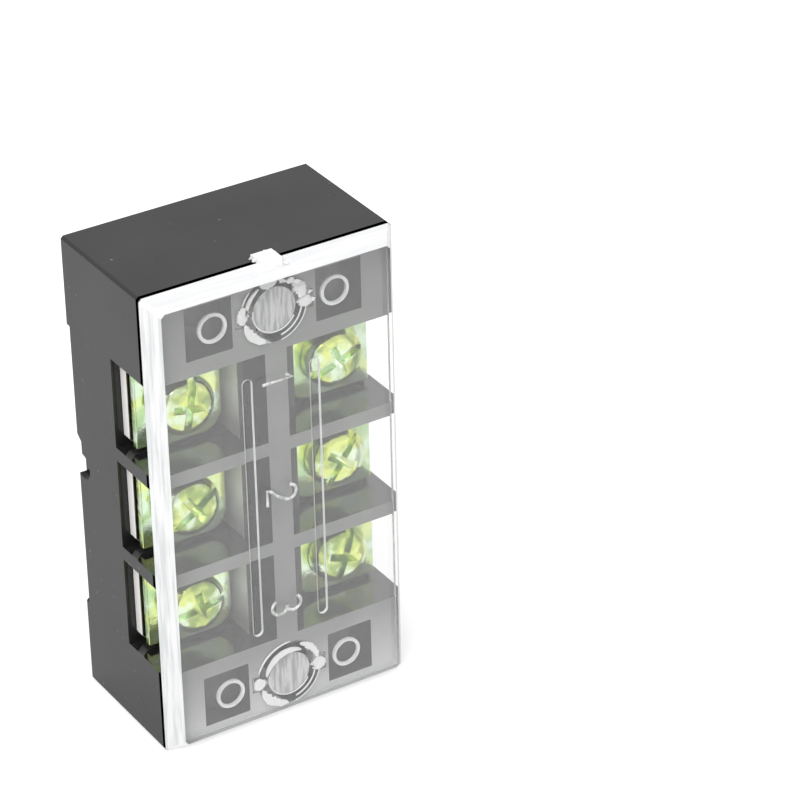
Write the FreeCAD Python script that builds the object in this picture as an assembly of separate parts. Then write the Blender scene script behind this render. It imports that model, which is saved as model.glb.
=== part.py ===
import FreeCAD, Part
import os

# Three pole barrier terminal strip with a clear push-on cover.
# The strip stands on one short end. X runs across its width, Z along its
# length, and Y through its depth: the cover faces -Y, the mounting back +Y.
# The origin is on the standing end, in the middle of the box round the part.
# All sizes are millimetres. Depths are measured from the seam between the
# housing and the cover, positive towards the mounting back.

os.makedirs("parts", exist_ok=True)

# Overall block
width = 30.0
length = 55.4
housing_depth = 17.0
cover_height = 2.0
edge_break = 0.3

# Poles along the strip
poles = 3
end_block = 10.1
fin_thickness = 1.6
pole_height = (length - 2 * end_block - (poles - 1) * fin_thickness) / poles
pole_pitch = pole_height + fin_thickness

# Front of the housing, where the cover's rim sits round a raised land
land_height = 0.4
rim_width = 1.2
rim_clearance = 0.1

# Central spine between the two rows of terminals
ridge_half_width = 1.3
shoulder_half_width = 3.4
shoulder_depth = 2.0
ledge_depth = 7.1

# Current bar, stamped with an extruded collar at each tapped hole
bar_end_inset = 1.0
bar_side_room = 0.78
bar_thickness = 1.3
bar_corner = 0.5
collar_radius = 2.8
collar_length = 1.6
bar_slot_clearance = 0.05
collar_clearance = 0.2

# Terminal screw, a pan head with a cross recess and a slot
screw_radius = 2.0
screw_length = 6.8
thread_clearance = 0.05
head_radius = 3.4
head_height = 2.3
head_edge_cut = 0.75
slot_width = 0.9
slot_depth = 0.9
cross_span = 3.9
cross_floor_span = 1.6
cross_floor_width = 0.55
cross_depth = 1.5
tail_room = 0.5
screw_turns = {
    "left": (8.0, 34.0, 80.0),
    "right": (72.0, 55.0, 20.0),
}

# Clamp washer, with square corners outside and rounded ones towards the spine
washer_outer_inset = 1.1
washer_spine_clearance = 0.7
washer_side_room = 0.63
washer_thickness = 0.9
washer_corner_radius = 2.4
washer_bore_clearance = 0.1
washer_gap = 0.5

# Mounting holes in the end blocks and the cover's posts in them
mount_end_distance = 5.2
mount_hole_radius = 2.2
post_radius = 3.85
post_clearance = 0.07
post_bore_radius = 2.55
post_depth = 5.0
counterbore_room = 1.0
ear_width = 1.8
ear_reach = 0.6
ear_depth = 2.4
ear_clearance = 0.15

# Square sink pockets beside the mounting holes
pocket_side_distance = 7.25
pocket_width = 5.5
pocket_height = 6.1
pocket_depth = 2.0

# Cover: sloping edges, marking grooves and rings
bevel_inset = 1.4
cover_corner_cut = 0.4
groove_offset = 4.05
groove_width = 1.15
groove_end_distance = 11.9
groove_depth = 0.35
ring_shift = 0.45
ring_radius = 1.7
ring_line = 0.35
ring_height = 0.3
gate_width = 2.5
gate_root = 1.0
gate_reach = 1.2
gate_thickness = 0.45
gate_clearance = 0.05

# Mounting back
foot_overlap = 0.3
foot_rise = 0.9
core_wall = 2.7
core_rib_half_width = 2.9
core_side_room = 0.93
core_depth = 3.0

# Gate scar broken out of the left rear edge
scar_height = 28.3
scar_radius = 1.5
scar_inset = 1.8
scar_depth = 0.8
break_depth = 0.8
break_height = 1.5
break_slope = 1.5

# Places worked out from the sizes above
depth_total = housing_depth + cover_height
seam_y = cover_height - depth_total / 2
cut_overrun = 1.0
bar_front = ledge_depth - bar_thickness
washer_back = bar_front - washer_gap
washer_front = washer_back - washer_thickness
screw_tip = washer_front + screw_length
pole_centres = [end_block + pole_height / 2 + i * pole_pitch for i in range(poles)]
bar_length = width - 2 * bar_end_inset
bar_width = pole_height - 2 * bar_side_room
washer_outer_end = width / 2 - washer_outer_inset
washer_inner_end = shoulder_half_width + washer_spine_clearance
washer_width = washer_outer_end - washer_inner_end
washer_height = pole_height - 2 * washer_side_room
screw_offset = (washer_outer_end + washer_inner_end) / 2
mount_centres = [mount_end_distance, length - mount_end_distance]
pocket_offset = width / 2 - pocket_side_distance
ring_offset = pocket_offset - ring_shift
groove_length = length - 2 * groove_end_distance
foot_height = end_block + foot_overlap
core_width = width / 2 - core_wall - core_rib_half_width
core_offset = core_rib_half_width + core_width / 2
core_height = pole_height - 2 * core_side_room
inner_half_width = width / 2 - rim_width
V = FreeCAD.Vector
OUTWARD = V(0, -1, 0)
INWARD = V(0, 1, 0)
UP = V(0, 0, 1)
ACROSS = V(1, 0, 0)


def block(x0, x1, d0, d1, z0, z1):
    """A box between two X values, two depths and two heights."""
    return Part.makeBox(x1 - x0, d1 - d0, z1 - z0, V(x0, seam_y + d0, z0))


def rod(x, z, radius, d0, d1):
    """A round bar along the depth."""
    return Part.makeCylinder(radius, d1 - d0, V(x, seam_y + d0, z), INWARD)


def rounded_outline(x0, x1, z0, z1, depth, radii):
    """A closed wire at one depth, with a radius for each corner, or 0 for a square one.

    The corners are listed from the low X, low Z one, round through high X.
    """
    corners = [(x0, z0), (x1, z0), (x1, z1), (x0, z1)]
    edges = []
    points = []
    for i, (x, z) in enumerate(corners):
        radius = radii[i]
        before = corners[i - 1]
        after = corners[(i + 1) % 4]
        to_before = V(before[0] - x, 0, before[1] - z).normalize()
        to_after = V(after[0] - x, 0, after[1] - z).normalize()
        corner = V(x, seam_y + depth, z)
        start = corner + to_before * radius
        end = corner + to_after * radius
        points.append((start, end))
        if radius > 0:
            centre = corner + (to_before + to_after) * radius
            middle = centre + (corner - centre).normalize() * radius
            edges.append(Part.Arc(start, middle, end).toShape())
    for i in range(4):
        edges.append(Part.LineSegment(points[i][1], points[(i + 1) % 4][0]).toShape())
    return Part.Wire(Part.__sortEdges__(edges))


def rounded_plate(x0, x1, z0, z1, d0, d1, radii):
    """A plate with rounded corners between two depths."""
    face = Part.Face(rounded_outline(x0, x1, z0, z1, d0, radii))
    return face.extrude(V(0, d1 - d0, 0))


def stadium(x, z, half_width, half_length, d0, d1):
    """A long plate with fully round ends, upright at x, z."""
    straight = half_length - half_width
    y = seam_y + d0
    edges = []
    for up in (1, -1):
        start = V(x + up * half_width, y, z + up * straight)
        crest = V(x, y, z + up * half_length)
        end = V(x - up * half_width, y, z + up * straight)
        edges.append(Part.Arc(start, crest, end).toShape())
        edges.append(Part.LineSegment(end, V(end.x, y, z - up * straight)).toShape())
    return Part.Face(Part.Wire(edges)).extrude(V(0, d1 - d0, 0))


def blank():
    """The housing's outer block, eased at its four corners and round its back."""
    shape = block(-width / 2, width / 2, -land_height, housing_depth, 0, length)
    middle_y = seam_y + housing_depth / 2
    return shape.makeChamfer(edge_break, [e for e in shape.Edges if e.BoundBox.YMax > middle_y])


def rim_rebate():
    """The step round the front face that the cover's rim drops into."""
    half_width = inner_half_width - rim_clearance
    outer = block(-width, width, -land_height - cut_overrun, 0, -cut_overrun, length + cut_overrun)
    low = rim_width + rim_clearance
    inner = block(-half_width, half_width, -land_height - 2 * cut_overrun, cut_overrun, low, length - low)
    return outer.cut(inner)


def pole_cavity(side, centre):
    """One open-sided terminal chamber, stepped down from the central ridge."""
    outside = side * (width / 2 + cut_overrun)
    front = seam_y - land_height - cut_overrun
    profile = [
        (side * ridge_half_width, front),
        (side * ridge_half_width, seam_y + shoulder_depth),
        (side * shoulder_half_width, seam_y + shoulder_depth),
        (side * shoulder_half_width, seam_y + ledge_depth),
        (outside, seam_y + ledge_depth),
        (outside, front),
    ]
    bottom = centre - pole_height / 2
    points = [V(x, y, bottom) for x, y in profile]
    outline = Part.makePolygon(points + [points[0]])
    return Part.Face(outline).extrude(UP * pole_height)


def bar_slot(centre):
    """The slot that carries a current bar through the spine."""
    half = bar_width / 2 + bar_slot_clearance
    reach = bar_length / 2
    return block(-reach, reach, bar_front - bar_slot_clearance, ledge_depth, centre - half, centre + half)


def screw_well(x, centre):
    """The blind well under a bar, wide enough for the collar and deeper than the screw."""
    return rod(x, centre, collar_radius + collar_clearance, ledge_depth - cut_overrun, screw_tip + tail_room)


def mounting_hole(centre):
    """A stepped through hole: counterbore for the cover's post, then the screw hole."""
    radius = post_radius + post_clearance
    bottom = post_depth + counterbore_room
    wide = rod(0, centre, radius, -land_height - cut_overrun, bottom)
    narrow = rod(0, centre, mount_hole_radius, 0, housing_depth + cut_overrun)
    reach = post_radius + ear_reach + ear_clearance
    half = ear_width / 2 + ear_clearance
    ears = block(-reach, reach, -land_height - cut_overrun, ear_depth + ear_clearance, centre - half, centre + half)
    return wide.fuse(narrow).fuse(ears)


def sink_pocket(x, centre):
    """A shallow square pocket that keeps the end block's walls even."""
    half_width = pocket_width / 2
    half_height = pocket_height / 2
    return block(x - half_width, x + half_width, -land_height - cut_overrun, pocket_depth,
                 centre - half_height, centre + half_height)


def rear_relief():
    """The back between the two feet, and the core pockets behind the poles."""
    relief = block(-width, width, housing_depth - foot_rise, housing_depth + cut_overrun,
                   foot_height, length - foot_height)
    front = housing_depth - foot_rise - core_depth
    for centre in pole_centres:
        for side in (-1, 1):
            x = side * core_offset
            relief = relief.fuse(block(x - core_width / 2, x + core_width / 2, front, housing_depth,
                                       centre - core_height / 2, centre + core_height / 2))
    return relief


def gate_scar():
    """The torn gate mark: a blind round bite and a break in the left rear edge."""
    bite_depth = housing_depth - scar_inset
    centre = V(-width / 2 - cut_overrun, seam_y + bite_depth, scar_height)
    bite = Part.makeCylinder(scar_radius, scar_depth + cut_overrun, centre, ACROSS)
    relief_y = seam_y + housing_depth - foot_rise
    low = scar_height + break_slope
    high = low + break_height
    left = centre.x
    points = [
        V(left, relief_y + cut_overrun, low - break_slope),
        V(left, relief_y - break_depth, low),
        V(left, relief_y - break_depth, high),
        V(left, relief_y + cut_overrun, high + break_slope),
    ]
    wedge = Part.Face(Part.makePolygon(points + [points[0]])).extrude(ACROSS * (scar_depth + cut_overrun))
    return bite.fuse(wedge)


def make_housing():
    """The black moulded housing with its fins, spine, wells and mounting feet."""
    shape = blank().cut(rim_rebate())
    for centre in pole_centres:
        shape = shape.cut(bar_slot(centre))
        for side in (-1, 1):
            shape = shape.cut(pole_cavity(side, centre))
            shape = shape.cut(screw_well(side * screw_offset, centre))
    for centre in mount_centres:
        shape = shape.cut(mounting_hole(centre))
        for side in (-1, 1):
            shape = shape.cut(sink_pocket(side * pocket_offset, centre))
    shape = shape.cut(rear_relief())
    shape = shape.cut(gate_scar())
    return shape.removeSplitter()


def cut_corner_outline(inset, depth):
    """The strip's outline drawn in by an inset, with its four corners cut off."""
    half_width = width / 2 - inset
    half_length = length / 2 - inset
    points = []
    for sx, sz in ((-1, -1), (1, -1), (1, 1), (-1, 1)):
        along = V(sx * (half_width - cover_corner_cut), seam_y + depth, length / 2 + sz * half_length)
        up = V(sx * half_width, seam_y + depth, length / 2 + sz * (half_length - cover_corner_cut))
        points += [up, along] if sx == sz else [along, up]
    return Part.makePolygon(points + [points[0]])


def cover_plate():
    """The cover's flat front, with edges that slope in from the seam."""
    seam = cut_corner_outline(0, 0)
    front = cut_corner_outline(bevel_inset, -cover_height)
    plate = Part.makeLoft([seam, front], True, True)
    recess = block(-inner_half_width, inner_half_width, -land_height, cut_overrun,
                   rim_width, length - rim_width)
    return plate.cut(recess)


def cover_post(centre):
    """A hollow post with two locating ears, which grips the counterbore."""
    post = rod(0, centre, post_radius, -land_height, post_depth)
    reach = post_radius + ear_reach
    ears = block(-reach, reach, -land_height, ear_depth, centre - ear_width / 2, centre + ear_width / 2)
    bore = rod(0, centre, post_bore_radius, -land_height, post_depth + cut_overrun)
    return post.fuse(ears).cut(bore)


def marking_ring(x, centre):
    """A raised ring on the cover's inner face, over a sink pocket."""
    outer = rod(x, centre, ring_radius, -land_height, -land_height + ring_height)
    return outer.cut(rod(x, centre, ring_radius - ring_line, -land_height, ring_height))


def gate_stub():
    """The flake left where the moulding gate was cut, bent back over the housing's top end."""
    low = length - rim_width
    rest = length + gate_clearance
    top = rest + gate_thickness
    profile = [(-gate_root, low), (-gate_root, top), (gate_reach, top), (gate_reach, rest), (0, rest), (0, low)]
    points = [V(-gate_width / 2, seam_y + depth, z) for depth, z in profile]
    return Part.Face(Part.makePolygon(points + [points[0]])).extrude(ACROSS * gate_width)


def make_cover():
    """The clear push-on cover."""
    shape = cover_plate()
    for centre in mount_centres:
        shape = shape.fuse(cover_post(centre))
        for side in (-1, 1):
            shape = shape.fuse(marking_ring(side * ring_offset, centre))
    shape = shape.fuse(gate_stub())
    for side in (-1, 1):
        shape = shape.cut(stadium(side * groove_offset, length / 2, groove_width / 2, groove_length / 2,
                                  -cover_height - cut_overrun, -cover_height + groove_depth))
    return shape.removeSplitter()


def make_bar(centre):
    """One plated current bar with its two collars and tapped holes."""
    half_length = bar_length / 2
    half_width = bar_width / 2
    shape = block(-half_length, half_length, bar_front, ledge_depth, centre - half_width, centre + half_width)
    corner_edges = [e for e in shape.Edges if e.BoundBox.YLength > bar_thickness / 2]
    shape = shape.makeChamfer(bar_corner, corner_edges)
    for side in (-1, 1):
        x = side * screw_offset
        shape = shape.fuse(rod(x, centre, collar_radius, bar_front, ledge_depth + collar_length))
        shape = shape.cut(rod(x, centre, screw_radius + thread_clearance, 0, housing_depth))
    return shape.removeSplitter()


def make_washer(side, centre):
    """One clamp washer, with its rounded corners towards the spine."""
    x = side * screw_offset
    half_width = washer_width / 2
    half_height = washer_height / 2
    radius = washer_corner_radius
    radii = [0, radius, radius, 0] if side < 0 else [radius, 0, 0, radius]
    shape = rounded_plate(x - half_width, x + half_width, centre - half_height, centre + half_height,
                          washer_front, washer_back, radii)
    bore = rod(x, centre, screw_radius + washer_bore_clearance, 0, housing_depth)
    return shape.cut(bore)


def head_profile():
    """The pan head's half section: flat seat, upright rim and a top edge cut back."""
    points = [
        V(0, 0, 0),
        V(head_radius, 0, 0),
        V(head_radius, head_edge_cut - head_height, 0),
        V(head_radius - head_edge_cut, -head_height, 0),
        V(0, -head_height, 0),
    ]
    return Part.Face(Part.makePolygon(points + [points[0]]))


def cross_wing(turn):
    """One tapering wing of the cross recess, from the head's top to its floor."""
    sections = []
    for span, wide, drop in ((cross_span, slot_width, 0), (cross_floor_span, cross_floor_width, cross_depth)):
        corners = [(-span / 2, -wide / 2), (span / 2, -wide / 2), (span / 2, wide / 2), (-span / 2, wide / 2)]
        points = [V(x, drop - head_height, z) for x, z in corners]
        sections.append(Part.makePolygon(points + [points[0]]))
    wing = Part.makeLoft(sections, True, True)
    wing.rotate(V(0, 0, 0), OUTWARD, turn)
    return wing


def make_screw(side, index):
    """One terminal screw: pan head, cross recess with a slot, plain core for the thread."""
    shape = head_profile().revolve(V(0, 0, 0), INWARD, 360)
    shape = shape.fuse(Part.makeCylinder(screw_radius, screw_length, V(0, 0, 0), INWARD))
    reach = head_radius + cut_overrun
    slot = Part.makeBox(2 * reach, slot_depth + cut_overrun, slot_width,
                        V(-reach, -head_height - cut_overrun, -slot_width / 2))
    shape = shape.cut(slot).cut(cross_wing(0)).cut(cross_wing(90))
    shape.rotate(V(0, 0, 0), OUTWARD, screw_turns[side_name(side)][index])
    shape.translate(V(side * screw_offset, seam_y + washer_front, pole_centres[index]))
    return shape.removeSplitter()


def side_name(side):
    """The plain name of a row of terminals."""
    return "left" if side < 0 else "right"


def build_parts():
    """Every piece by its node name. Pole 1 is the top one."""
    pieces = {"housing": make_housing(), "clear_cover": make_cover()}
    for index in range(poles):
        number = poles - index
        centre = pole_centres[index]
        pieces["current_bar_%d" % number] = make_bar(centre)
        for side in (-1, 1):
            name = "%s_%d" % (side_name(side), number)
            pieces["clamp_washer_" + name] = make_washer(side, centre)
            pieces["terminal_screw_" + name] = make_screw(side, index)
    return pieces


for node, solid in build_parts().items():
    solid.exportStep("parts/" + node + ".step")
    print(node, len(solid.Solids), "valid" if solid.isValid() else "INVALID", round(solid.Volume, 2))
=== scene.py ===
import math
import random

import bmesh
import bpy
from mathutils import Matrix, Vector


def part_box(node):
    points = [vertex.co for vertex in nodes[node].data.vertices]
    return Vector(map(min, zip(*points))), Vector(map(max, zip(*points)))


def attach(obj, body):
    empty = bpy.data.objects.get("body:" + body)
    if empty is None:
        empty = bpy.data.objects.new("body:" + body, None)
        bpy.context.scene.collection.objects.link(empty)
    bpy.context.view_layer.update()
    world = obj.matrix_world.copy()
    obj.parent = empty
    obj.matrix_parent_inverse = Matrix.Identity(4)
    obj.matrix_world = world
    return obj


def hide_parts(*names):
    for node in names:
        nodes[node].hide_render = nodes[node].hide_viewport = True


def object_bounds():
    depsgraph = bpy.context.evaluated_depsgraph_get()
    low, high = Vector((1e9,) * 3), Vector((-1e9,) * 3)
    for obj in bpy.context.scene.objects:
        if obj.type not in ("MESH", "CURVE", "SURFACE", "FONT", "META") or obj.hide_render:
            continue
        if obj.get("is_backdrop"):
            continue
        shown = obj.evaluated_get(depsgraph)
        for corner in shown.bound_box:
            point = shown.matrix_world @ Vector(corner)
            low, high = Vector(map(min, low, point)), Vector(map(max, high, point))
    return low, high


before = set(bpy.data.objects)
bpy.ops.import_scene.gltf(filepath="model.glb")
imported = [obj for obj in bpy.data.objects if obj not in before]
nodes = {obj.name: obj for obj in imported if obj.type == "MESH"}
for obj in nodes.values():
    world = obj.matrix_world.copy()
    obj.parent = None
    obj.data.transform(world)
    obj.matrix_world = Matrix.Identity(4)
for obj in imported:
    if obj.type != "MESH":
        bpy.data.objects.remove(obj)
cad_low, cad_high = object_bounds()
MM = 0.001


# Housing. One injection moulding in black plastic: the end blocks, the spine
# between the two rows, the fins between poles and the feet on the back. Its
# outside has a fine satin grain with a little pale dust caught in it.

def start_finish(name, **settings):
    """A new finish: the material, its node tree and its shader, with plain settings."""
    finish = bpy.data.materials.new(name)
    finish.use_nodes = True
    shader = finish.node_tree.nodes["Principled BSDF"]
    for socket, value in settings.items():
        shader.inputs[socket.replace("_", " ")].default_value = value
    return finish, finish.node_tree, shader


def add_node(tree, kind, **settings):
    """A node in a tree, with its own properties set."""
    node = tree.nodes.new(kind)
    for name, value in settings.items():
        setattr(node, name, value)
    return node


def noise_at(tree, scale, detail, roughness=0.5):
    """A noise texture fixed to the piece, at a scale in waves per metre."""
    place = add_node(tree, "ShaderNodeTexCoord")
    noise = add_node(tree, "ShaderNodeTexNoise")
    noise.inputs["Scale"].default_value = scale
    noise.inputs["Detail"].default_value = detail
    noise.inputs["Roughness"].default_value = roughness
    tree.links.new(place.outputs["Object"], noise.inputs["Vector"])
    return noise


def remap(tree, source, low, high, to_low, to_high):
    """Stretches one range of values onto another."""
    stretch = add_node(tree, "ShaderNodeMapRange")
    limits = {"From Min": low, "From Max": high, "To Min": to_low, "To Max": to_high}
    for socket, value in limits.items():
        stretch.inputs[socket].default_value = value
    tree.links.new(source, stretch.inputs["Value"])
    return stretch.outputs["Result"]


def blend_colours(tree, factor, first, second):
    """Mixes two colours, each a plain colour or another node's output."""
    mix = add_node(tree, "ShaderNodeMix", data_type="RGBA")
    tree.links.new(factor, mix.inputs["Factor"])
    for socket, colour in ((mix.inputs[6], first), (mix.inputs[7], second)):
        if isinstance(colour, tuple):
            socket.default_value = colour + (1.0,)
        else:
            tree.links.new(colour, socket)
    return mix.outputs[2]


def bump_normal(tree, shader, height, distance, strength=1.0):
    """Feeds a height to the shader's normal as a bump of real depth in metres."""
    bump = add_node(tree, "ShaderNodeBump")
    bump.inputs["Distance"].default_value = distance
    bump.inputs["Strength"].default_value = strength
    tree.links.new(height, bump.inputs["Height"])
    tree.links.new(bump.outputs["Normal"], shader.inputs["Normal"])


def start_group(name, inputs, outputs):
    """A new node group with these plain inputs and outputs, and its two end nodes."""
    group = bpy.data.node_groups.new(name, "ShaderNodeTree")
    for label, value in inputs.items():
        socket = group.interface.new_socket(label, in_out="INPUT", socket_type="NodeSocketFloat")
        socket.default_value = value
    for label in outputs:
        group.interface.new_socket(label, in_out="OUTPUT", socket_type="NodeSocketFloat")
    return group, add_node(group, "NodeGroupInput"), add_node(group, "NodeGroupOutput")


def moulded_grain_group():
    """Grain and dust of a moulded face, as a group that each plastic places with its own values."""
    inputs = {"Grain Scale": 5200.0, "Dust Scale": 1500.0, "Dust Limit": 0.72}
    speck_edge = 30.0
    group, entry, leave = start_group("moulded grain", inputs, ("Height", "Dust", "Cloud"))
    grain = noise_at(group, 1.0, 3.0, 0.6)
    dust = noise_at(group, 1.0, 2.0, 0.7)
    cloud = noise_at(group, 90.0, 2.0)
    group.links.new(entry.outputs["Grain Scale"], grain.inputs["Scale"])
    group.links.new(entry.outputs["Dust Scale"], dust.inputs["Scale"])
    above = add_node(group, "ShaderNodeMath", operation="SUBTRACT")
    group.links.new(dust.outputs["Fac"], above.inputs[0])
    group.links.new(entry.outputs["Dust Limit"], above.inputs[1])
    sharp = add_node(group, "ShaderNodeMath", operation="MULTIPLY", use_clamp=True)
    group.links.new(above.outputs[0], sharp.inputs[0])
    sharp.inputs[1].default_value = speck_edge
    group.links.new(grain.outputs["Fac"], leave.inputs["Height"])
    group.links.new(sharp.outputs[0], leave.inputs["Dust"])
    group.links.new(cloud.outputs["Fac"], leave.inputs["Cloud"])
    return group


def place_group(tree, group, **settings):
    """A group node in a material, with its own values."""
    node = add_node(tree, "ShaderNodeGroup", node_tree=group)
    for socket, value in settings.items():
        node.inputs[socket.replace("_", " ")].default_value = value
    return node


def place_along(tree, axis):
    """How far a point lies along one of the piece's own axes, in metres."""
    place = add_node(tree, "ShaderNodeTexCoord")
    split = add_node(tree, "ShaderNodeSeparateXYZ")
    tree.links.new(place.outputs["Object"], split.inputs["Vector"])
    return split.outputs[axis]


def rise_along(tree, axis, start, end):
    """A mask that rises from 0 to 1 between two places along one of the piece's own axes."""
    return remap(tree, place_along(tree, axis), start, end, 0.0, 1.0)


def black_moulding(name, dark, light, roughness, specular, dust_limit, grain_depth=0.01 * MM):
    """Black plastic with fine grain, cloudy tone and dust. Gives its tree, shader and colour too."""
    finish, tree, shader = start_finish(name, Specular_IOR_Level=specular)
    grain = place_group(tree, moulded_grain, Dust_Limit=dust_limit)
    tone = remap(tree, grain.outputs["Cloud"], 0.3, 0.7, 0.0, 1.0)
    body = blend_colours(tree, tone, dark, light)
    colour = blend_colours(tree, grain.outputs["Dust"], body, (0.28, 0.28, 0.29))
    tree.links.new(colour, shader.inputs["Base Color"])
    shader.inputs["Roughness"].default_value = roughness
    bump_normal(tree, shader, grain.outputs["Height"], grain_depth)
    return finish, tree, shader, colour


def satin_outside():
    """The housing's outside, with a thin line of painted shade along the cover's seam: black, fully
    rough and without shine.
    """
    finish, tree, shader, colour = black_moulding(
        "black_satin_outside", dark=(0.020, 0.0195, 0.021), light=(0.030, 0.029, 0.031),
        roughness=0.30, specular=0.5, dust_limit=0.72)
    # Painted shade: a thin line along the cover's seam turns black, fully rough and without specular.
    beyond_seam_shade = rise_along(tree, "Y", seam_y + seam_shade_width, seam_y + seam_shade_width + near)
    tree.links.new(blend_colours(tree, beyond_seam_shade, (0.0, 0.0, 0.0), colour), shader.inputs["Base Color"])
    tree.links.new(remap(tree, beyond_seam_shade, 0.0, 1.0, 0.95, 0.30), shader.inputs["Roughness"])
    tree.links.new(remap(tree, beyond_seam_shade, 0.0, 1.0, 0.0, 0.5), shader.inputs["Specular IOR Level"])
    return finish


def glossy_chamber():
    """The shiny walls of the chambers and holes, moulded against polished cores."""
    return black_moulding(
        "black_gloss_chamber", dark=(0.012, 0.012, 0.012), light=(0.020, 0.020, 0.020),
        roughness=0.12, specular=0.4, dust_limit=0.80, grain_depth=0.001 * MM)[0]


def land_with_dust_and_painted_lift():
    """The matt face that the cover lies on, with painted light that makes it paler towards the standing
    end, to offset the shade near the floor.
    """
    finish, tree, shader, colour = black_moulding(
        "black_matt_land", dark=(0.23, 0.235, 0.23), light=(0.30, 0.305, 0.30),
        roughness=0.5, specular=0.4, dust_limit=0.76)
    # Painted light: the land turns paler from 9 mm down to 1.5 mm above the standing end, offsetting
    # the shade near the floor.
    lift_start = 9.0 * MM
    lift_full = 1.5 * MM
    painted_lift = rise_along(tree, "Z", lift_start, lift_full)
    lifted_colour = blend_colours(tree, painted_lift, colour, (0.58, 0.59, 0.58))
    tree.links.new(lifted_colour, shader.inputs["Base Color"])
    return finish


def spine_side_painted_light():
    """The spine's side walls, with painted light: pale all over where light through the open side falls
    on them, and a painted highlight near white at the top of each pole.
    """
    # Painted light: these pale colours stand for the light that falls on the walls through the open
    # side.
    finish, tree, shader, colour = black_moulding(
        "black_spine_painted_light", dark=(0.20, 0.20, 0.195), light=(0.36, 0.36, 0.35),
        roughness=0.3, specular=0.5, dust_limit=0.76)
    # Painted highlight: near white towards the top of each pole, where the light catches the wall under
    # the cover.
    light_start = pole_middle - 4.0 * MM
    light_full = pole_middle + 0.5 * MM
    in_pole = add_node(tree, "ShaderNodeMath", operation="WRAP")
    tree.links.new(place_along(tree, "Z"), in_pole.inputs[0])
    in_pole.inputs[1].default_value = pole_middle + pole_pitch / 2
    in_pole.inputs[2].default_value = pole_middle - pole_pitch / 2
    lit_share = remap(tree, in_pole.outputs[0], light_start, light_full, 0.0, 1.0)
    tree.links.new(blend_colours(tree, lit_share, colour, (0.80, 0.80, 0.79)), shader.inputs["Base Color"])
    return finish


def polished_fin_top():
    """The glossy floors of the chambers, smooth enough to mirror the screws and washers above them."""
    finish, _, shader, _ = black_moulding(
        "black_polished_fin", dark=(0.012, 0.012, 0.012), light=(0.020, 0.020, 0.020),
        roughness=0.05, specular=1.0, dust_limit=0.80, grain_depth=0.0)
    shader.inputs["Coat Weight"].default_value = 0.7
    shader.inputs["Coat Roughness"].default_value = 0.04
    return finish


def ease_edges(piece, width, angle=35.0, finish_slot=-1):
    """Joins the mesh's seams and rounds its sharp edges, in a finish of their own if asked."""
    joined = piece.modifiers.new("joined seams", "WELD")
    joined.merge_threshold = 0.002 * MM
    flat = piece.modifiers.new("whole flat faces", "DECIMATE")
    flat.decimate_type = "DISSOLVE"
    flat.angle_limit = math.radians(1.0)
    flat.delimit = {"MATERIAL"}
    eased = piece.modifiers.new("eased edges", "BEVEL")
    eased.width = width
    eased.segments = 2
    eased.limit_method = "ANGLE"
    eased.angle_limit = math.radians(angle)
    eased.use_clamp_overlap = True
    eased.material = finish_slot


def refinish(piece, *finishes):
    """Puts these finishes on a piece in place of what it came with."""
    piece.data.materials.clear()
    for finish in finishes:
        piece.data.materials.append(finish)


moulded_grain = moulded_grain_group()
seam_y = -7.5 * MM
seam_shade_width = 0.55 * MM
near = 0.05 * MM
skin = 0.36 * MM
land_gap = 0.05 * MM
housing = nodes["housing"]
housing_low, housing_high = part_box("housing")
spine_side_x = 3.4 * MM
pole_middle = sum(corner.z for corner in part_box("current_bar_2")) / 2
pole_pitch = sum(corner.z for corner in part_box("current_bar_1")) / 2 - pole_middle
OUTSIDE, CHAMBER, LAND, SPINE_SIDE, FIN_TOP = range(5)
refinish(housing, satin_outside(), glossy_chamber(), land_with_dust_and_painted_lift(), spine_side_painted_light(),
         polished_fin_top())


def housing_finish(middle, normal):
    """Which of the housing's finishes a face takes, from its middle and direction."""
    if middle.y < seam_y + near:
        return LAND
    if abs(normal.x) > 0.9 and abs(abs(middle.x) - spine_side_x) < near:
        return SPINE_SIDE
    on_top_end = middle.z > housing_high.z - skin
    beside_spine = middle.y < 0.0 and abs(middle.x) > spine_side_x
    if normal.z > 0.9 and beside_spine and not on_top_end:
        return FIN_TOP
    on_end = middle.z < housing_low.z + skin or on_top_end
    on_side = abs(middle.x) > housing_high.x - skin
    on_back = middle.y > housing_high.y - skin
    return OUTSIDE if on_end or on_side or on_back else CHAMBER


for polygon in housing.data.polygons:
    polygon.material_index = housing_finish(polygon.center, polygon.normal)
land = housing.vertex_groups.new(name="land")
land.add([v.index for v in housing.data.vertices if v.co.y < seam_y + near], 1.0, "REPLACE")
clear_of_cover = housing.modifiers.new("land just clear of the cover", "DISPLACE")
clear_of_cover.direction = "Y"
clear_of_cover.mid_level = 0.0
clear_of_cover.strength = land_gap
clear_of_cover.vertex_group = "land"
ease_edges(housing, width=0.14 * MM)


# Current bars. Three flat brass bars, stamped and nickel plated, one to a pole.
# Each is pushed into its slot through the spine, and has an extruded collar
# at both ends, tapped for the terminal screws.

def plating_mottle_group():
    """Cloudy patches and fine rubbing lines of a plated metal."""
    inputs = {"Patch Scale": 330.0, "Fine Scale": 900.0}
    group, entry, leave = start_group("plating mottle", inputs, ("Patch", "Second Patch", "Height"))
    patch = noise_at(group, 1.0, 2.0, 0.5)
    fine = noise_at(group, 1.0, 3.0, 0.5)
    group.links.new(entry.outputs["Patch Scale"], patch.inputs["Scale"])
    group.links.new(entry.outputs["Fine Scale"], fine.inputs["Scale"])
    split = add_node(group, "ShaderNodeSeparateColor")
    group.links.new(patch.outputs["Color"], split.inputs["Color"])
    group.links.new(patch.outputs["Fac"], leave.inputs["Patch"])
    group.links.new(split.outputs["Green"], leave.inputs["Second Patch"])
    group.links.new(fine.outputs["Fac"], leave.inputs["Height"])
    return group


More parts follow.
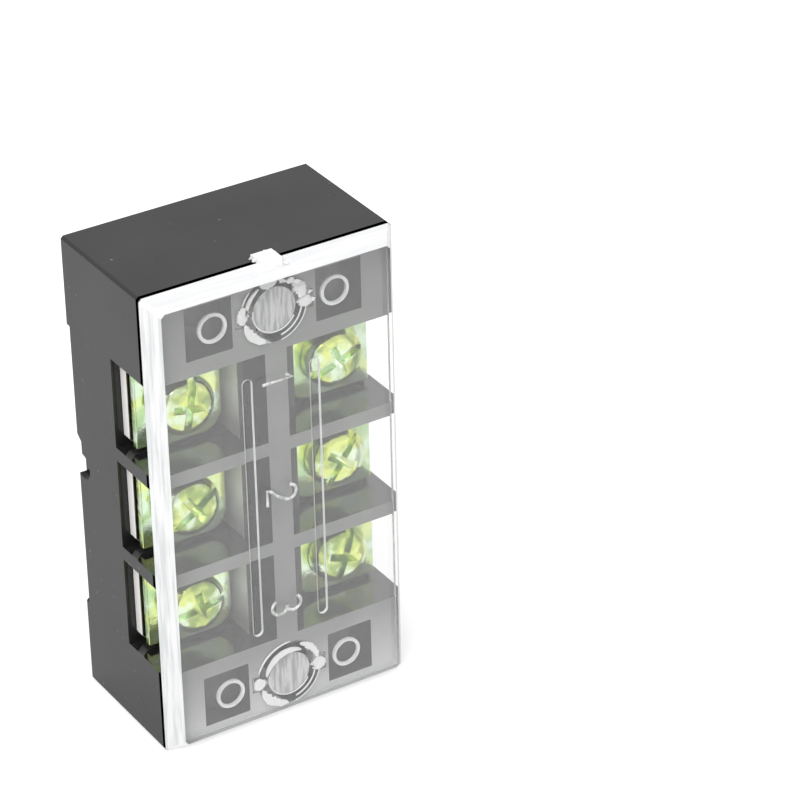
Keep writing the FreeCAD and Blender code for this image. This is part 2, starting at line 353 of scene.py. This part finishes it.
def plated_metal(name, dull, bright, tint, roughness, metallic=1.0, ripple=0.01 * MM):
    """A plated metal whose colour wanders between three tones, on a face rippled by stamping."""
    finish, tree, shader = start_finish(name, Metallic=metallic)
    mottle = place_group(tree, plating_mottle)
    first = remap(tree, mottle.outputs["Patch"], 0.42, 0.58, 0.0, 1.0)
    second = remap(tree, mottle.outputs["Second Patch"], 0.50, 0.60, 0.0, 1.0)
    colour = blend_colours(tree, second, blend_colours(tree, first, dull, bright), tint)
    tree.links.new(colour, shader.inputs["Base Color"])
    smooth, rough = roughness
    polish = remap(tree, mottle.outputs["Patch"], 0.3, 0.7, rough, smooth)
    tree.links.new(polish, shader.inputs["Roughness"])
    bump_normal(tree, shader, mottle.outputs["Height"], ripple)
    return finish


plating_mottle = plating_mottle_group()
nickel_plate = plated_metal(
    "nickel_plated_brass", dull=(0.95, 0.94, 0.91), bright=(1.0, 0.99, 0.97), tint=(0.98, 0.95, 0.91),
    roughness=(0.35, 0.5), metallic=0.1)
# Painted shade: the bars' front faces under the washers take this dark nickel to stand for the shade
# there; being fully metallic, they also mirror the washers' dark backs.
nickel_painted_shade = plated_metal(
    "nickel_painted_shade_under_washer", dull=(0.16, 0.155, 0.13), bright=(0.30, 0.29, 0.25),
    tint=(0.24, 0.24, 0.19), roughness=(0.25, 0.4))
for number in (1, 2, 3):
    bar = nodes["current_bar_%d" % number]
    refinish(bar, nickel_plate, nickel_painted_shade)
    for polygon in bar.data.polygons:
        polygon.material_index = 1 if polygon.normal.y < -0.9 else 0
    ease_edges(bar, width=0.1 * MM)


# Clamp washers. Six rectangular spring-steel plates under the screw heads,
# blanked with two rounded corners towards the spine, and zinc plated with a
# yellow-green passivation.
zinc_washer = plated_metal(
    "yellow_green_zinc", dull=(0.58, 0.80, 0.44), bright=(0.84, 0.95, 0.38), tint=(0.80, 0.97, 0.74),
    roughness=(0.12, 0.26), ripple=0.05 * MM)
for side in ("left", "right"):
    for number in (1, 2, 3):
        washer = nodes["clamp_washer_%s_%d" % (side, number)]
        refinish(washer, zinc_washer)
        ease_edges(washer, width=0.14 * MM)


# Terminal screws. Six pan head machine screws, cold headed with a cross
# recess and a slot across it, thread rolled, and zinc plated like the
# washers. Each goes through its washer into the bar's tapped collar.
head_radius = 3.4 * MM
head_height = 2.3 * MM
head_edge_radius = 1.2 * MM
head_crown = 0.12 * MM
head_rim = 0.15 * MM
seat_cut = 0.12 * MM
slot_width = 0.9 * MM
slot_depth = 0.9 * MM
cross_span = 3.9 * MM
cross_floor_span = 1.6 * MM
cross_floor_width = 0.55 * MM
cross_depth = 1.5 * MM
thread_crest = 2.0 * MM
thread_root = 1.6 * MM
thread_tip = 0.8 * thread_root
thread_pitch = 0.7 * MM
thread_start = 0.3 * MM
thread_end = 0.2 * MM
rolled_edge = 0.07 * MM
screw_segments = 56
rings_per_turn = 8
screw_turns = {"left": (80.0, 34.0, 8.0), "right": (20.0, 55.0, 72.0)}


def place_piece(name, data):
    """A new object of this data, in the scene."""
    piece = bpy.data.objects.new(name, data)
    bpy.context.scene.collection.objects.link(piece)
    return piece


def settle_mesh(name, mesh):
    """Turns a mesh under edit into plain mesh data."""
    data = bpy.data.meshes.new(name)
    mesh.to_mesh(data)
    mesh.free()
    return data


def revolve_rings(mesh, rings):
    """A closed skin over rings of points, with a flat face at both ends."""
    loops = []
    for ring in rings:
        loops.append([mesh.verts.new(point) for point in ring])
    for loop, next_loop in zip(loops, loops[1:]):
        for i in range(screw_segments):
            j = (i + 1) % screw_segments
            mesh.faces.new((loop[i], loop[j], next_loop[j], next_loop[i]))
    for loop, order in ((loops[0], -1), (loops[-1], 1)):
        mesh.faces.new(loop[::order])
    bmesh.ops.recalc_face_normals(mesh, faces=mesh.faces)


def round_ring(radius, depth):
    """One ring of points round the screw's axis, at a depth behind the head's seat."""
    return [Vector((radius * math.cos(a), depth, radius * math.sin(a)))
            for a in (2 * math.pi * i / screw_segments for i in range(screw_segments))]


def thread_ring(depth, start, end):
    """One ring of the rolled thread, whose crest winds round and fades at both ends."""
    fade = min(1.0, (depth - start) / thread_pitch, (end - depth) / thread_pitch)
    points = []
    for i in range(screw_segments):
        angle = 2 * math.pi * i / screw_segments
        phase = (depth / thread_pitch - i / screw_segments) % 1.0
        rise = 1 - abs(2 * phase - 1)
        radius = thread_root + (thread_crest - thread_root) * max(0.0, fade) * rise
        points.append(Vector((radius * math.cos(angle), depth, radius * math.sin(angle))))
    return points


def head_rings():
    """Rings of the pan head, from its slightly crowned top over the rounded edge to its seat."""
    flat_radius = head_radius - head_edge_radius
    rings = []
    for share in (0.15, 0.5, 0.8):
        rings.append(round_ring(flat_radius * share, -head_height + head_crown * share ** 2))
    steps = 8
    for i in range(steps + 1):
        angle = math.pi / 2 * i / steps
        radius = flat_radius + head_edge_radius * math.sin(angle)
        fall = head_edge_radius * (1 - math.cos(angle))
        rings.append(round_ring(radius, -head_height + head_crown + fall))
    rings.append(round_ring(head_radius, -head_rim))
    rings.append(round_ring(head_radius - seat_cut, 0.0))
    rings.append(round_ring(thread_root, 0.0))
    return rings


def cutter_mesh(name, sections):
    """A tapering block between two rectangles, to cut a recess with."""
    mesh = bmesh.new()
    loops = []
    for half_span, half_width, depth in sections:
        corners = ((-half_span, -half_width), (half_span, -half_width),
                   (half_span, half_width), (-half_span, half_width))
        loops.append([mesh.verts.new((x, depth, z)) for x, z in corners])
    for i in range(4):
        j = (i + 1) % 4
        mesh.faces.new((loops[0][i], loops[0][j], loops[1][j], loops[1][i]))
    mesh.faces.new(loops[0])
    mesh.faces.new(loops[1])
    bmesh.ops.recalc_face_normals(mesh, faces=mesh.faces)
    return place_piece(name, settle_mesh(name, mesh))


def screw_blank(length):
    """The screw before its recess is struck."""
    mesh = bmesh.new()
    rings = head_rings()
    count = round(length / thread_pitch * rings_per_turn)
    for i in range(1, count):
        depth = length * i / count
        rings.append(thread_ring(depth, thread_start, length - thread_end))
    rings.append(round_ring(thread_tip, length))
    revolve_rings(mesh, rings)
    return place_piece("screw_blank", settle_mesh("screw_blank", mesh))


def struck_screw_mesh(length):
    """The finished screw's mesh: the blank with the slot and both wings of the cross cut away."""
    blank = screw_blank(length)
    over = 0.4 * MM
    top = -head_height
    cutters = [cutter_mesh("slot_cutter", (
        (head_radius + over, slot_width / 2, top - over),
        (head_radius + over, slot_width / 2, top + slot_depth)))]
    growth = over / cross_depth
    mouth = (cross_span / 2 + (cross_span - cross_floor_span) / 2 * growth,
             slot_width / 2 + (slot_width - cross_floor_width) / 2 * growth, top - over)
    floor = (cross_floor_span / 2, cross_floor_width / 2, top + cross_depth)
    for quarter in (0.0, 90.0):
        wing = cutter_mesh("cross_cutter", (mouth, floor))
        wing.data.transform(Matrix.Rotation(math.radians(quarter), 4, "Y"))
        cutters.append(wing)
    for cutter in cutters:
        cut = blank.modifiers.new("struck recess", "BOOLEAN")
        cut.object = cutter
        cut.operation = "DIFFERENCE"
        cut.solver = "EXACT"
    sharp = blank.modifiers.new("rolled edges", "BEVEL")
    sharp.width = rolled_edge
    sharp.segments = 2
    sharp.limit_method = "ANGLE"
    sharp.angle_limit = math.radians(50)
    bpy.context.view_layer.update()
    view = bpy.context.evaluated_depsgraph_get()
    data = bpy.data.meshes.new_from_object(blank.evaluated_get(view))
    for spent in cutters + [blank]:
        bpy.data.objects.remove(spent)
    return data


zinc_screw = plated_metal(
    "yellow_green_zinc_screw", dull=(0.34, 0.48, 0.11), bright=(0.78, 0.88, 0.22),
    tint=(0.82, 0.97, 0.70), roughness=(0.10, 0.24), ripple=0.10 * MM)
node_low, node_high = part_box("terminal_screw_left_1")
screw_mesh = struck_screw_mesh(node_high.y - node_low.y - head_height)
for polygon in screw_mesh.polygons:
    polygon.use_smooth = True
screw_mesh.set_sharp_from_angle(angle=math.radians(38))
for side in ("left", "right"):
    for number in (1, 2, 3):
        name = "%s_%d" % (side, number)
        low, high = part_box("terminal_screw_" + name)
        screw = place_piece("pan_head_screw_" + name, screw_mesh.copy())
        seat = Vector(((low.x + high.x) / 2, low.y + head_height, (low.z + high.z) / 2))
        turn = Matrix.Rotation(math.radians(screw_turns[side][number - 1]), 4, Vector((0, -1, 0)))
        screw.data.transform(Matrix.Translation(seat) @ turn)
        refinish(screw, zinc_screw)
        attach(screw, "screw_" + name)
        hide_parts("terminal_screw_" + name)


# Cover. One clear styrene moulding over the whole front: a flat plate with
# frosted sloping edges, two hollow posts with ears that push into the end
# blocks, four small rings, and two long grooves.

def let_lamps_through(tree, shader, share):
    """Lets this share of the lamps' light straight through, to what lies behind."""
    path = add_node(tree, "ShaderNodeLightPath")
    open_share = add_node(tree, "ShaderNodeMath", operation="MULTIPLY")
    open_share.inputs[1].default_value = share
    tree.links.new(path.outputs["Is Shadow Ray"], open_share.inputs[0])
    unseen = add_node(tree, "ShaderNodeBsdfTransparent")
    either = add_node(tree, "ShaderNodeMixShader")
    tree.links.new(open_share.outputs[0], either.inputs[0])
    tree.links.new(shader.outputs[0], either.inputs[1])
    tree.links.new(unseen.outputs[0], either.inputs[2])
    tree.links.new(either.outputs[0], tree.nodes["Material Output"].inputs["Surface"])


def clear_moulding(name, haze, roughness, top_tint):
    """Clear plastic with a milky haze that clouds a little, its tint running from white at the standing
    end to a greyer tone at the top.
    """
    finish, tree, shader = start_finish(name, IOR=1.52, Transmission_Weight=1.0 - haze)
    cloud = noise_at(tree, 120.0, 3.0)
    lift = rise_along(tree, "Z", 0.0, cover_length)
    rise = add_node(tree, "ShaderNodeMath", operation="ADD")
    tree.links.new(remap(tree, cloud.outputs["Fac"], 0.3, 0.7, -0.15, 0.15), rise.inputs[0])
    tree.links.new(lift, rise.inputs[1])
    colour = blend_colours(tree, rise.outputs[0], (1.0, 1.0, 1.0), top_tint)
    tree.links.new(colour, shader.inputs["Base Color"])
    tree.links.new(remap(tree, cloud.outputs["Fac"], 0.3, 0.7, roughness, roughness + 0.03),
                   shader.inputs["Roughness"])
    let_lamps_through(tree, shader, share=0.9)
    return finish


def drawn_out_noise(tree, scale, squeeze):
    """Noise fixed to the piece, drawn out along the axes that are squeezed."""
    place = add_node(tree, "ShaderNodeTexCoord")
    drawn_out = add_node(tree, "ShaderNodeMapping")
    drawn_out.inputs["Scale"].default_value = squeeze
    noise = add_node(tree, "ShaderNodeTexNoise")
    noise.inputs["Scale"].default_value = scale
    noise.inputs["Detail"].default_value = 3.0
    tree.links.new(place.outputs["Object"], drawn_out.inputs["Vector"])
    tree.links.new(drawn_out.outputs["Vector"], noise.inputs["Vector"])
    return noise


def frosted(name, transmission, squeeze, dull):
    """Etched clear plastic that scatters light and reads white, with faint marks drawn out one way."""
    finish, tree, shader = start_finish(name, IOR=1.52, Transmission_Weight=transmission)
    mark = drawn_out_noise(tree, 2400.0, squeeze)
    tone = remap(tree, mark.outputs["Fac"], 0.38, 0.58, 0.0, 1.0)
    tree.links.new(blend_colours(tree, tone, dull, (1.0, 1.0, 1.0)), shader.inputs["Base Color"])
    tree.links.new(remap(tree, mark.outputs["Fac"], 0.3, 0.7, 0.35, 0.5), shader.inputs["Roughness"])
    bump_normal(tree, shader, mark.outputs["Fac"], 0.01 * MM, strength=0.4)
    return finish


def streaked_clear(name, transmission, squeeze, dull):
    """Clear plastic with milky drag streaks along one way, from pulling out of the mould."""
    finish, tree, shader = start_finish(name, IOR=1.52, Transmission_Weight=transmission)
    streak = drawn_out_noise(tree, 1500.0, squeeze)
    tone = remap(tree, streak.outputs["Fac"], 0.42, 0.58, 0.0, 1.0)
    colour = blend_colours(tree, tone, dull, (0.98, 0.98, 0.98))
    tree.links.new(colour, shader.inputs["Base Color"])
    tree.links.new(remap(tree, streak.outputs["Fac"], 0.4, 0.6, 0.05, 0.2), shader.inputs["Roughness"])
    bump_normal(tree, shader, streak.outputs["Fac"], 0.03 * MM)
    let_lamps_through(tree, shader, share=transmission)
    return finish


cover = nodes["clear_cover"]
cover_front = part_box("clear_cover")[0].y
land_front = cover_front + 1.6 * MM
cover_length = 55.4 * MM
mount_distance = 5.2 * MM
mount_heights = (mount_distance, cover_length - mount_distance)
post_outer = 3.85 * MM
post_bore = 2.55 * MM
ear_reach = 4.7 * MM
ear_half_width = 0.9 * MM
ring_offset = 7.3 * MM
ring_outer = 1.7 * MM
flake_root = cover_length - 1.0 * MM
flake_half_width = 1.3 * MM
flake_front = cover_front + 0.8 * MM
glint_crescent = (190.0, 262.0)
# A white frosted finish, for real marks in the plastic and for painted highlights and painted light.
frosted_mark_and_painted_light = frosted(
    "frosted_mark_and_painted_light", transmission=0.0, squeeze=(1.0, 1.0, 1.0), dull=(0.96, 0.96, 0.96))
FRONT, FROSTED_AND_GLINT, INSIDE, POST, POST_END, MARK_AND_PAINTED_LIGHT, SHORT_EDGE = range(7)
hazed_front = clear_moulding(
    "hazed_clear_front", haze=0.095, roughness=0.04, top_tint=(0.92, 0.93, 0.92))
# Real frost on the long sloping edges, also used for the painted highlights along all the cover's
# edges.
long_side_frost_and_glint = frosted(
    "frosted_long_sides_and_glint", transmission=0.12, squeeze=(1.0, 1.0, 0.06), dull=(0.78, 0.80, 0.81))
clear_inside = clear_moulding(
    "clear_inside", haze=0.03, roughness=0.05, top_tint=(0.95, 0.95, 0.95))
post_wall = streaked_clear(
    "clear_post_wall", transmission=0.85, squeeze=(1.0, 0.12, 1.0), dull=(0.55, 0.55, 0.55))
post_floor = streaked_clear(
    "milky_post_end", transmission=0.30, squeeze=(1.6, 1.0, 0.20), dull=(0.56, 0.57, 0.57))
short_edge = frosted(
    "frosted_short_edge", transmission=0.12, squeeze=(0.06, 1.0, 1.0), dull=(0.93, 0.94, 0.95))
refinish(cover, hazed_front, long_side_frost_and_glint, clear_inside, post_wall, post_floor, frosted_mark_and_painted_light, short_edge)
# Painted highlight: the rounded edges take the white frosted finish, standing for the glints along the
# clear plastic's sharp edges.
ease_edges(cover, width=0.11 * MM, finish_slot=FROSTED_AND_GLINT)


def post_finish(middle, from_axis, axis_height):
    """Which finish a face of a post takes: milky floor, white ears, a painted highlight crescent on the
    lower left, clear walls.
    """
    if from_axis < post_bore - near and middle.y < land_front + near:
        return POST_END
    angle = math.degrees(math.atan2(middle.z - axis_height, middle.x)) % 360
    on_ear = from_axis > post_outer - near and abs(middle.z - axis_height) < ear_half_width + near
    # Painted highlight: the wall's lower-left crescent takes the white finish.
    return MARK_AND_PAINTED_LIGHT if on_ear or glint_crescent[0] < angle < glint_crescent[1] else POST


def cover_finish(middle, normal):
    """Which of the cover's finishes a face takes, from its middle and direction."""
    from_axis, axis_height = min((math.hypot(middle.x, middle.z - z), z) for z in mount_heights)
    from_ring = min(math.hypot(middle.x - side * ring_offset, middle.z - z)
                    for side in (-1, 1) for z in mount_heights)
    if middle.z > flake_root and abs(middle.x) < flake_half_width and middle.y > flake_front:
        return MARK_AND_PAINTED_LIGHT
    if -0.9 < normal.y < -0.3:
        # Painted light: the bottom slope takes the opaque white finish, so the bottom edge reads pale
        # instead of shaded near the floor.
        if normal.z < -0.3:
            return MARK_AND_PAINTED_LIGHT
        return SHORT_EDGE if normal.z > 0.3 else FROSTED_AND_GLINT
    # Painted light: the bottom face takes the opaque white finish too.
    if normal.z < -0.9 and middle.z < near:
        return MARK_AND_PAINTED_LIGHT
    if middle.y < land_front - near:
        return FRONT if normal.y < -0.9 else FROSTED_AND_GLINT
    if from_axis < ear_reach and middle.y > land_front + near or from_axis < post_bore - near:
        return post_finish(middle, from_axis, axis_height)
    if from_ring < ring_outer and middle.y > land_front - near and middle.y < seam_y + near:
        if middle.y > land_front + near or abs(normal.y) < 0.5:
            return MARK_AND_PAINTED_LIGHT
    return INSIDE


for polygon in cover.data.polygons:
    polygon.material_index = cover_finish(polygon.center, polygon.normal)


# Post glints. White patches and thin white lines set inside the plate
# round both posts are painted highlights: they stand for the glints and
# bright outlines that light gives the clear posts.

def set_in_cover(name, data, finish):
    """A new piece in the cover's plastic, which goes where the cover goes."""
    piece = place_piece(name, data)
    data.materials.append(finish)
    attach(piece, "cover")


def white_line(name, points, thickness, finish):
    """A thin white line through these points, in the finish given, set in the cover's plastic."""
    line = bpy.data.curves.new(name, "CURVE")
    line.dimensions = "3D"
    line.bevel_depth = thickness
    line.bevel_resolution = 2
    line.use_fill_caps = True
    spline = line.splines.new("POLY")
    spline.points.add(len(points) - 1)
    for point, place in zip(spline.points, points):
        point.co = (*place, 1.0)
    set_in_cover(name, line, finish)


def glint_band(name, axis_height, start, end, inner, outer, ragged, chance):
    """A painted glint at a post's root: a tapering white band between two radii, torn if ragged."""
    steps = 26
    tip_share = 0.12
    middle = (outer + inner) / 2
    patch = bmesh.new()
    rows = []
    for i in range(steps + 1):
        share = i / steps
        turn = math.radians(start + (end - start) * share)
        swell = tip_share + (1 - tip_share) * math.sin(math.pi * share) ** 0.6
        half = (outer - inner) / 2 * swell
        inner_edge = middle - half * (1 - ragged * chance.random())
        outer_edge = middle + half * (1 - ragged * chance.random() / 2)
        row = []
        for depth in (patch_depth, patch_depth + patch_thickness):
            for radius in (inner_edge, outer_edge):
                across = radius * math.cos(turn)
                height = axis_height + radius * math.sin(turn)
                row.append(patch.verts.new((across, depth, height)))
        rows.append(row)
    for near_row, far_row in zip(rows, rows[1:]):
        for a, b in ((0, 1), (1, 3), (3, 2), (2, 0)):
            patch.faces.new((near_row[a], near_row[b], far_row[b], far_row[a]))
    for row in (rows[0], rows[-1]):
        patch.faces.new((row[0], row[1], row[3], row[2]))
    bmesh.ops.recalc_face_normals(patch, faces=patch.faces)
    set_in_cover(name, settle_mesh(name, patch), frosted_mark_and_painted_light)


patch_depth = cover_front + 1.15 * MM
patch_thickness = 0.25 * MM
line_depth = land_front - 0.15 * MM
line_steps = 24
# Radius and thickness in millimetres, then the angles where the line starts and ends.
post_highlight_lines = (("inner", 2.60, 0.09, 170.0, 330.0), ("middle", 3.22, 0.11, -78.0, 5.0),
              ("outer", 3.80, 0.08, -80.0, 10.0))
# Start and end angle, inner and outer radius in millimetres, then how ragged.
post_glint_bands = {
    "low": (("glint_crescent", 194.0, 264.0, 2.95, 4.20, 0.5), ("left_ear", 170.0, 191.0, 2.90, 4.70, 0.6),
            ("rim", 60.0, 168.0, 2.62, 3.40, 0.15), ("root_line", 88.0, 162.0, 4.02, 4.20, 0.2),
            ("fan", 14.0, 68.0, 3.10, 4.15, 0.7), ("right_ear", -12.0, 14.0, 2.40, 4.65, 0.8)),
    "high": (("glint_crescent", 191.0, 250.0, 3.05, 4.20, 0.4), ("left_ear", 160.0, 189.0, 3.05, 4.70, 0.7),
             ("rim", 122.0, 176.0, 3.25, 3.70, 0.2), ("root_line", 135.0, 160.0, 4.05, 4.20, 0.2),
             ("fan", 8.0, 50.0, 2.45, 4.25, 0.7), ("right_ear", -10.0, 10.0, 2.40, 4.60, 0.6),
             ("gate_tongue", 84.0, 118.0, 2.60, 4.30, 0.3)),
}
# Painted highlights: white outline lines and glint patches round each post.
for place, axis_height in zip(("low", "high"), mount_heights):
    for name, radius, thickness, start, end in post_highlight_lines:
        points = []
        for i in range(line_steps + 1):
            turn = math.radians(start + (end - start) * i / line_steps)
            height = axis_height + radius * MM * math.sin(turn)
            points.append((radius * MM * math.cos(turn), line_depth, height))
        white_line("post_flow_line_%s_%s" % (place, name), points, thickness * MM, frosted_mark_and_painted_light)
    chance = random.Random(5)
    for name, start, end, inner, outer, ragged in post_glint_bands[place]:
        glint_band("post_whitening_%s_%s" % (place, name), axis_height, start, end,
                   inner * MM, outer * MM, ragged, chance)


# Torn gate. Breaking off the moulding gate has left a ragged flake on the
# cover's top edge, and a run of white splinters in the styrene from there to
# the upper post's ear.
chance = random.Random(11)
# Place across, behind the cover's front and up the strip, then size, in millimetres.
splinters = ((-0.6, 0.62, 54.0, 1.2), (0.2, 0.62, 53.9, 1.5), (0.9, 0.62, 53.6, 1.3),
             (1.7, 0.62, 53.3, 1.1), (2.5, 0.62, 52.9, 1.0), (3.3, 0.62, 52.1, 1.0),
             (3.9, 0.62, 51.2, 1.0), (4.3, 0.62, 50.3, 0.9),
             (-1.35, 2.3, 55.62, 0.75), (-1.25, 3.0, 55.64, 0.65), (-0.5, 3.25, 55.64, 0.65),
             (0.6, 3.3, 55.64, 0.6), (1.3, 2.7, 55.62, 0.7), (1.35, 1.7, 55.45, 0.9),
             (0.5, 1.0, 55.35, 1.1), (-0.9, 1.05, 55.4, 0.9), (1.7, 1.0, 55.1, 0.9))
for number, (x, behind, z, size) in enumerate(splinters, 1):
    shard = bmesh.new()
    for _ in range(9):
        spread = Vector((chance.uniform(-1, 1), chance.uniform(-0.45, 0.45), chance.uniform(-0.7, 0.7)))
        shard.verts.new(Vector((x, cover_front / MM + behind, z)) + spread * size / 2)
    shard.verts.ensure_lookup_table()
    bmesh.ops.convex_hull(shard, input=shard.verts)
    bmesh.ops.scale(shard, vec=(MM, MM, MM), verts=shard.verts)
    set_in_cover("gate_splinter_%d" % number, settle_mesh("splinter", shard), frosted_mark_and_painted_light)


# Pole numerals. The figures 1, 2 and 3 are engraved in the cover's front
# between the two grooves, turned to read along the strip, and left frosted
# by the mould.
numeral_height = 3.6 * MM
numeral_width = 2.1 * MM
numeral_line = 0.19 * MM
numeral_depth = 1.05 * numeral_line
numeral_x = -0.4 * MM
numeral_z = {1: 42.2 * MM, 2: 28.5 * MM, 3: 14.5 * MM}
arc_squash = 0.6
worn_frost = frosted(
    "worn_frost", transmission=0.0, squeeze=(1.0, 1.0, 1.0), dull=(0.52, 0.53, 0.52))


def arc(centre, radius, start, end, steps=10):
    """Points of an arc in the numeral's unit box, between two angles in degrees."""
    points = []
    for i in range(steps + 1):
        angle = math.radians(start + (end - start) * i / steps)
        points.append((centre[0] + radius * math.cos(angle),
                       centre[1] + radius * math.sin(angle) * arc_squash))
    return points


numeral_strokes = {
    1: [(0.25, 0.80), (0.5, 1.0), (0.5, 0.0)],
    2: arc((0.5, 0.73), 0.42, 170, -45) + [(0.45, 0.25), (0.18, 0.13), (0.08, 0.0), (0.98, 0.0)],
    3: arc((0.48, 0.74), 0.42, 150, -80) + arc((0.48, 0.27), 0.45, 80, -150),
}
for number, stroke in numeral_strokes.items():
    points = [(numeral_x + (up - 0.5) * numeral_height, cover_front + numeral_depth,
               numeral_z[number] - (across - 0.5) * numeral_width) for across, up in stroke]
    white_line("cover_numeral_%d" % number, points, numeral_line, worn_frost)


# Floor and backdrop. A wide sheet of pale paper under the strip, white to the
# camera and through the cover, that keeps the strip's soft shadow.

def seen_share(tree):
    """1 for rays from the camera or through clear plastic, and 0 for all others."""
    path = add_node(tree, "ShaderNodeLightPath")
    seen = add_node(tree, "ShaderNodeMath", operation="MAXIMUM")
    tree.links.new(path.outputs["Is Camera Ray"], seen.inputs[0])
    tree.links.new(path.outputs["Is Transmission Ray"], seen.inputs[1])
    return seen.outputs[0]


def paper_finish(glow_strength):
    """Pale paper, with a glow that only seen rays meet, to lift it to white."""
    finish, tree, shader = start_finish("pale_floor", Roughness=0.9, Specular_IOR_Level=0.0)
    paper = noise_at(tree, 40.0, 2.0)
    tone = blend_colours(tree, paper.outputs["Fac"], (0.86, 0.86, 0.86), (0.9, 0.9, 0.9))
    tree.links.new(tone, shader.inputs["Base Color"])
    power = add_node(tree, "ShaderNodeMath", operation="MULTIPLY")
    power.inputs[1].default_value = glow_strength
    tree.links.new(seen_share(tree), power.inputs[0])
    glow = add_node(tree, "ShaderNodeEmission")
    tree.links.new(power.outputs[0], glow.inputs["Strength"])
    both = add_node(tree, "ShaderNodeAddShader")
    tree.links.new(shader.outputs[0], both.inputs[0])
    tree.links.new(glow.outputs[0], both.inputs[1])
    tree.links.new(both.outputs[0], tree.nodes["Material Output"].inputs["Surface"])
    return finish


floor_half = 2.0
floor_gap = 0.02 * MM
floor_top = cad_low[2] - floor_gap
corners = [(x * floor_half, y * floor_half, floor_top) for x, y in ((-1, -1), (1, -1), (1, 1), (-1, 1))]
floor_mesh = bpy.data.meshes.new("floor")
floor_mesh.from_pydata(corners, [], [(0, 1, 2, 3)])
floor = place_piece("floor", floor_mesh)
refinish(floor, paper_finish(glow_strength=0.40))
floor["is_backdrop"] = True


# Lights. An even pale room and one big soft light from the upper left.
room_light = 0.75
strip_middle = Vector((0.0, 0.0, 0.028))
world = bpy.data.worlds.new("studio")
bpy.context.scene.world = world
world.use_nodes = True
sky = world.node_tree.nodes["Background"]
sky.inputs["Color"].default_value = (1.0, 1.0, 1.0, 1.0)
sky_strength = remap(world.node_tree, seen_share(world.node_tree), 0.0, 1.0, room_light, 1.0)
world.node_tree.links.new(sky_strength, sky.inputs["Strength"])


def soft_light(name, place, size, power):
    """A square soft light aimed at the middle of the strip."""
    lamp = bpy.data.lights.new(name, "AREA")
    lamp.shape = "SQUARE"
    lamp.size = size
    lamp.energy = power
    light = place_piece(name, lamp)
    light.location = place
    aim = strip_middle - Vector(place)
    light.rotation_euler = aim.to_track_quat("-Z", "Y").to_euler()


soft_light("key_light", (-0.45, -0.45, 0.75), size=0.5, power=4.0)


# Camera. A long lens from the front left and above, on the photograph's line.
camera_data = bpy.data.cameras.new("camera")
camera_data.sensor_width = 36.0
camera_data.lens = 169.19
camera_data.clip_start = 0.01
camera_data.clip_end = 20.0
camera = place_piece("camera", camera_data)
camera_place = Vector((-166.807, -303.74, 235.278)) * MM
right = Vector((0.845363, -0.533833, -0.019572))
up = Vector((0.281956, 0.414779, 0.865136))
back = Vector((-0.45372, -0.736873, 0.501156))
turned = Matrix((right, up, back)).transposed().to_4x4()
camera.matrix_world = Matrix.Translation(camera_place) @ turned
bpy.context.scene.camera = camera
bpy.context.scene.view_settings.view_transform = "Standard"

low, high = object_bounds()
